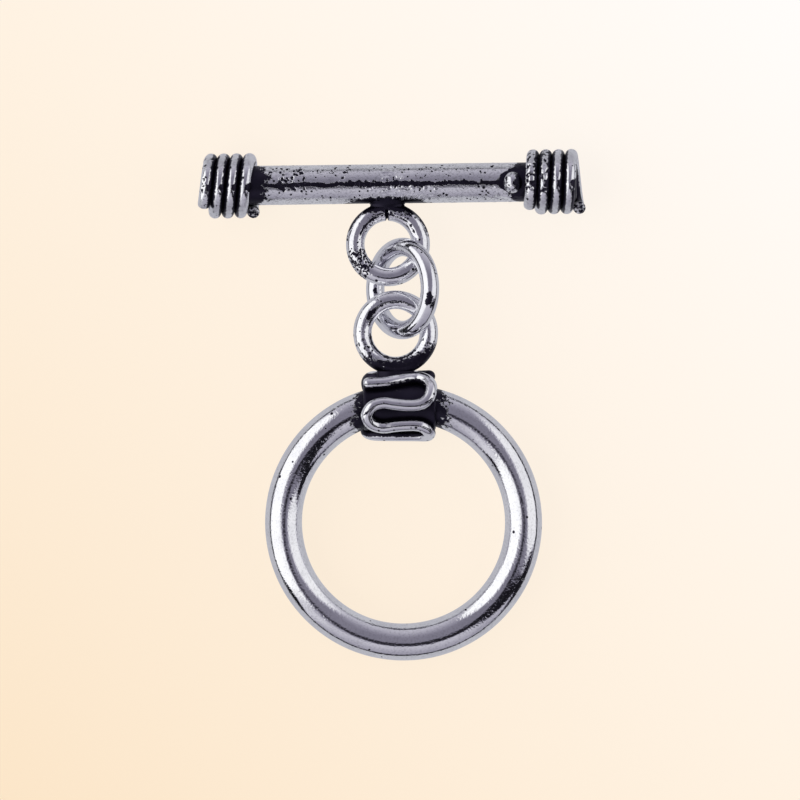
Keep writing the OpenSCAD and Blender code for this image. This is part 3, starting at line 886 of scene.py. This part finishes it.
ringEyeMiddle = np.array([collarLook['shift'] + collarLook['eyeShift'],
                          stripRadius + collarLook['eyeLift'] + collarLook['eyeOuter'] / 2, 0])


# A smooth line through the bends, worked out flat and then wrapped round the collar
def serpentinePath():
    knots = np.array(bends, float)
    padded = np.vstack([2 * knots[0] - knots[1], knots, 2 * knots[-1] - knots[-2]])
    line = []
    for i in range(1, len(padded) - 2):
        a, b, c, d = padded[i - 1:i + 3]
        for t in np.arange(stepsPerBend) / stepsPerBend:
            line.append(0.5 * (2 * b + (c - a) * t + (2 * a - 5 * b + 4 * c - d) * t ** 2
                               + (3 * b - a - 3 * c + d) * t ** 3))
    x, angle = np.array([*line, knots[-1]]).T
    angle = np.radians(angle)
    return np.stack([x, serpentineRadius * np.sin(angle), serpentineRadius * np.cos(angle)], 1)


# The strip: a short tube with rolled rims, whose channel follows the hoop's own bend
def stripRings(sides=128, outsidePoints=30, insidePoints=24):
    half, rim = collarLook['length'] / 2, collarLook['rim']
    rolled = [(-half + rim * (1 - math.sin(t)), stripRadius - rim * (1 - math.cos(t)))
              for t in np.radians([90, 65, 40, 20, 0])]
    outside = [(x, stripRadius) for x in np.linspace(-half + rim, half - rim, outsidePoints)[1:-1]]
    outside = rolled + outside + [(-x, r) for x, r in rolled[::-1]]
    inside = [(x, None) for x in np.linspace(half, -half, insidePoints)]
    rings = []
    for k in range(sides):
        a = 2 * math.pi * k / sides
        ring = []
        for x, r in outside + inside:
            drop = 0
            if r is None:
                r = channelRadius
                drop = math.sqrt(hoopRadius ** 2 - (x + collarLook['shift']) ** 2) - collarAxis
            ring.append((x + collarLook['shift'], r * math.sin(a) + drop, r * math.cos(a)))
        rings.append(ring)
    return rings


def collarSulphideAndReflection(at, normals, run):
    low, high = collarLook['wireBlack']
    wireDark = fade(np.hypot(at[:, 1], at[:, 2]), serpentineRadius + low, serpentineRadius + high)
    # a painted dark reflection in a thin line where the wire faces up, tilted a little
    look = collarLook['reflectionLine']
    tilted = normals[:, 1] * math.cos(hoopTilt) - normals[:, 2] * math.sin(hoopTilt)
    reflectionLine = look['most'] * hump(tilted, look['tilt'], look['width']) * (normals[:, 2] > look['facing'])
    wireDark = np.maximum(wireDark, reflectionLine)
    lastDark = np.maximum(fade(at[:, 1], *collarLook['lastBlack']), run > run.max() - collarLook['lastEnd'])
    wireDark = np.where(run > run.max() - collarLook['lastStrand'], lastDark, wireDark)
    return np.where(run > 0, wireDark, collarLook['stripBlack'])


def ringEyeSulphide(fromEye):
    x, y, z = fromEye.T
    outward = np.hypot(x, y) - ringEyeRadius
    azimuth = np.degrees(np.arctan2(y, x))
    look = collarLook['footBlack']
    foot = look['most'] * ramp(-y + look['outward'] * outward + look['right'] * x, *look['fade'])
    look = collarLook['arc']
    arc = hump(outward, look['outward'], look['width'] + look['wider'] * ramp(azimuth, *look['widens']))
    arc *= ramp(azimuth, *look['from']) * fade(azimuth, *look['to']) * (z > 0)
    arc *= look['least'] + look['more'] * hump(azimuth, *look['darkest'])
    look = collarLook['innerRim']
    innerRim = look['most'] * hump(outward, look['outward'], look['width'])
    innerRim *= ramp(-azimuth, *look['below']) * (z > 0)
    return np.maximum.reduce([foot, arc, innerRim])


def makeCollar():
    strip = skinOver('collar', stripRings(), loop=True)
    serpentine = sweep('serpentine', serpentinePath(), False, collarLook['wire'], collarSilver)
    eyePath = ringPath(ringEyeRadius, collarLook['eyeStart'])
    eye = sweep('ringEye', eyePath, True, collarLook['eye'], collarSilver)
    neck = skinOver('collarNeck', ovalRings(collarLook['neckRows']))
    collar = weld([strip, serpentine, moved(eye, ringEyeMiddle), moved(neck, (ringEyeMiddle[0], 0, 0))])
    mesh = collar.data
    eyeSurface = ringSurface(ringEyeMiddle, ringEyeRadius, ringEyeWire)
    pitDark = sinkPits(mesh, scatter(collarLook['eyePits'], eyeSurface, collarLook['pitSeed']))

    at = pointsOf(mesh)
    fromEye = at - ringEyeMiddle
    fromWire = np.hypot(np.hypot(fromEye[:, 0], fromEye[:, 1]) - ringEyeRadius, fromEye[:, 2])
    beyond, above = collarLook['eyeEdge']
    isEye = (fromWire < ringEyeWire / 2 + beyond) & (at[:, 1] > stripRadius + above)
    run = alongWire(mesh)
    dark = np.where(isEye, ringEyeSulphide(fromEye), collarSulphideAndReflection(at, normalsOf(mesh), run))
    paint(mesh, 'tarnishAndPaintedShading', np.maximum(dark, pitDark))
    paint(mesh, 'satin', ~isEye & (run > 0))
    paint(mesh, 'pitted', np.where(isEye, collarLook['specks']['eye'], collarLook['specks']['strip']))
    collarPlace = hoopPlace @ Matrix.Translation((0, collarAxis * mm, 0))
    finishPiece(collar, 'collar', collarSilver, collarPlace)


makeCollar()

# Floor
# The card under the clasp: peach at the lower left, near white at the upper right. The metal mirrors a plain
# grey table instead, as cut-out product shots do, which darkens where it is seen at a low angle.
floorLook = {'size': 1200, 'tones': ('#fbe6c9', '#fef2e2', '#fffcf9'), 'reach': 52, 'glow': 1.105,
             'shadowShare': 0.18, 'table': '#c4c4ca', 'fade': (0.86, 0.92), 'farTable': 0.03}
viewMiddle = (0.556, 0.406)  # where the camera looks


def makeFloor():
    half = floorLook['size'] / 2
    floor = makePiece('floor', [(-half, -half, 0), (half, -half, 0), (half, half, 0), (-half, half, 0)],
                      faces=[(0, 1, 2, 3)])
    material = bpy.data.materials.new('paperCard')
    material.use_nodes = True
    tree = material.node_tree
    tree.nodes.clear()
    place = addNode(tree, 'ShaderNodeTexCoord')
    perMetre = 0.5 / mm / floorLook['reach']
    diagonal = addNode(tree, 'ShaderNodeVectorMath',
                       {0: place.outputs['Object'], 1: (perMetre, perMetre, 0)}, operation='DOT_PRODUCT')
    atMiddle = 0.5 - 0.5 * sum(viewMiddle) / floorLook['reach']
    shifted = addNode(tree, 'ShaderNodeMath', {0: diagonal.outputs['Value'], 1: atMiddle}, operation='ADD')
    tones = addNode(tree, 'ShaderNodeValToRGB', {'Fac': shifted})
    tones.color_ramp.elements.new(0.5)
    for stop, tone in zip(tones.color_ramp.elements, floorLook['tones']):
        stop.color = linearColour(tone)
    colour = tones.outputs['Color']
    glow = addNode(tree, 'ShaderNodeEmission', {'Color': colour, 'Strength': floorLook['glow']})
    paper = addNode(tree, 'ShaderNodeBsdfDiffuse', {'Color': colour, 'Roughness': 1.0})
    seen = addNode(tree, 'ShaderNodeMixShader', {'Fac': floorLook['shadowShare'], 1: glow, 2: paper})
    grazing = addNode(tree, 'ShaderNodeLayerWeight', {'Blend': 0.5})
    low, high = floorLook['fade']
    darkened = addNode(tree, 'ShaderNodeMapRange', {
        'Value': grazing.outputs['Facing'], 'From Min': low, 'From Max': high, 'To Min': 1.0,
        'To Max': floorLook['farTable']})
    grey = linearColour(floorLook['table'])
    table = addNode(tree, 'ShaderNodeEmission', {'Color': grey, 'Strength': darkened})
    byCamera = addNode(tree, 'ShaderNodeLightPath').outputs['Is Camera Ray']
    ground = addNode(tree, 'ShaderNodeMixShader', {'Fac': byCamera, 1: table, 2: seen})
    addNode(tree, 'ShaderNodeOutputMaterial', {'Surface': ground})
    floor.data.materials.append(material)


makeFloor()

# Studio light
# A dome of soft cards. A card is a brightness and straight edges in the flattened dome, whose middle is the
# zenith and whose rim is the horizon. An edge is the direction that it faces in degrees, its distance from
# the zenith and its softness. The horizon is a low and a high height and a brightness.
studio = {
    'lean': 8.3, 'ceiling': 0.27, 'lightTint': '#ffffff', 'shadeTint': '#e2dafc',
    'cards': [
        ('upper grey', 0.62, [(90, 0.65, 0.35)]),
        ('left fill', 0.62, [(270, 0.03, 0.1), (180, 0.2, 0.2)]),
        ('left box', 1.2, [(191, 0.235, 0.05), (218, -0.054, 0.04), (127, -0.02, 0.02), (270, -0.74, 0.12),
                           (90, -0.41, 0.03), (0, -0.92, 0.05)]),
        ('left box tip', 1.1, [(180, 0.13, 0.06), (270, 0.0, 0.05), (127, -0.02, 0.02), (0, -0.35, 0.05)]),
        ('right box', 0.95, [(-17.7, 0.268, 0.07), (60, 0.11, 0.02), (90, -0.21, 0.02), (270, -0.7, 0.2),
                             (180, -0.95, 0.08)]),
        ('under zenith', 0.03, [(270, -0.01, 0.02), (309, -0.01, 0.04), (45, -0.15, 0.05),
                                (180, -0.12, 0.05)]),
        ('lower grey', 0.65, [(270, 0.22, 0.03), (306, 0.0, 0.05), (315, 0.02, 0.05)]),
        ('lower left', 0.78, [(270, 0.22, 0.04), (306, 0.0, 0.05), (180, 0.25, 0.1)]),
        ('lower far', 0.44, [(270, 0.5, 0.3), (315, 0.045, 0.05)]),
        ('lower shade', 0.25, [(270, 0.84, 0.05)]),
        ('doorway', 0.012, [(246, 0.02, 0.02), (43.5, -0.045, 0.02), (80.5, -0.33, 0.02),
                            (180, -0.86, 0.03)]),
        ('doorway foot', 0.012, [(270, 0.23, 0.02), (0, 0.6, 0.03), (180, -0.86, 0.03), (90, -0.61, 0.05)]),
        ('stand', 0.008, [(270, 0.42, 0.02), (21, -0.9, 0.02), (166, 0.44, 0.02), (90, -0.71, 0.05)])],
    'horizon': (0.04, 0.07, 0.03)}


def makeStudio():
    world = bpy.data.worlds.new('studio')
    world.use_nodes = True
    bpy.context.scene.world = world
    tree = world.node_tree
    tree.nodes.clear()
    direction = addNode(tree, 'ShaderNodeTexCoord')
    level = addNode(tree, 'ShaderNodeVectorMath', {0: direction.outputs['Generated']}, operation='NORMALIZE')
    unit = addNode(tree, 'ShaderNodeVectorRotate', {'Vector': level, 'Angle': -math.radians(studio['lean'])},
                   rotation_type='X_AXIS')
    parts = addNode(tree, 'ShaderNodeSeparateXYZ', {'Vector': unit})
    polar = addNode(tree, 'ShaderNodeMath', {0: parts.outputs['Z']}, operation='ARCCOSINE')
    reach = addNode(tree, 'ShaderNodeMath', {0: polar, 1: math.pi / 2}, operation='DIVIDE')
    sideways = addNode(tree, 'ShaderNodeVectorMath', {0: unit, 1: (1, 1, 0)}, operation='MULTIPLY')
    heading = addNode(tree, 'ShaderNodeVectorMath', {0: sideways}, operation='NORMALIZE')
    flatDome = addNode(tree, 'ShaderNodeVectorMath', {0: heading, 'Scale': reach}, operation='SCALE')
    brightness = studio['ceiling']
    for label, value, edges in studio['cards']:
        cover = None
        for facing, offset, soft in edges:
            facing = math.radians(facing)
            past = addNode(tree, 'ShaderNodeVectorMath',
                           {0: flatDome, 1: (math.cos(facing), math.sin(facing), 0)}, operation='DOT_PRODUCT')
            edge = addNode(tree, 'ShaderNodeMapRange', {
                'Value': past.outputs['Value'], 'From Min': offset - soft, 'From Max': offset + soft},
                interpolation_type='SMOOTHSTEP')
            if cover:
                edge = addNode(tree, 'ShaderNodeMath', {0: cover, 1: edge}, operation='MULTIPLY')
            cover = edge
        brightness = addNode(tree, 'ShaderNodeMix', {0: cover, 2: brightness, 3: value}, data_type='FLOAT',
                             label=label)
    low, high, value = studio['horizon']
    height = addNode(tree, 'ShaderNodeSeparateXYZ', {'Vector': level})
    over = addNode(tree, 'ShaderNodeMapRange', {
        'Value': height.outputs['Z'], 'From Min': low, 'From Max': high})
    brightness = addNode(tree, 'ShaderNodeMix', {0: over, 2: value, 3: brightness}, data_type='FLOAT')
    tint = addNode(tree, 'ShaderNodeMix', {
        0: brightness, 6: linearColour(studio['shadeTint']), 7: linearColour(studio['lightTint'])},
        data_type='RGBA')
    background = addNode(tree, 'ShaderNodeBackground', {'Color': tint.outputs[2], 'Strength': brightness})
    addNode(tree, 'ShaderNodeOutputWorld', {'Surface': background})


makeStudio()

# Camera, straight above as in the photograph. Subject is the height that the frame's width is measured at
cameraLook = {'height': 550, 'subject': 1.8, 'frame': 52, 'sensor': 36, 'clip': (10, 10000)}


def makeCamera():
    camera = bpy.data.objects.new('camera', bpy.data.cameras.new('camera'))
    bpy.context.scene.collection.objects.link(camera)
    camera.location = (viewMiddle[0] * mm, viewMiddle[1] * mm, cameraLook['height'] * mm)
    distance = cameraLook['height'] - cameraLook['subject']
    camera.data.sensor_width = cameraLook['sensor']
    camera.data.lens = cameraLook['sensor'] * distance / cameraLook['frame']
    camera.data.clip_start, camera.data.clip_end = (reach * mm for reach in cameraLook['clip'])
    bpy.context.scene.camera = camera
    bpy.context.scene.view_settings.view_transform = 'Standard'


makeCamera()
print('stage made')
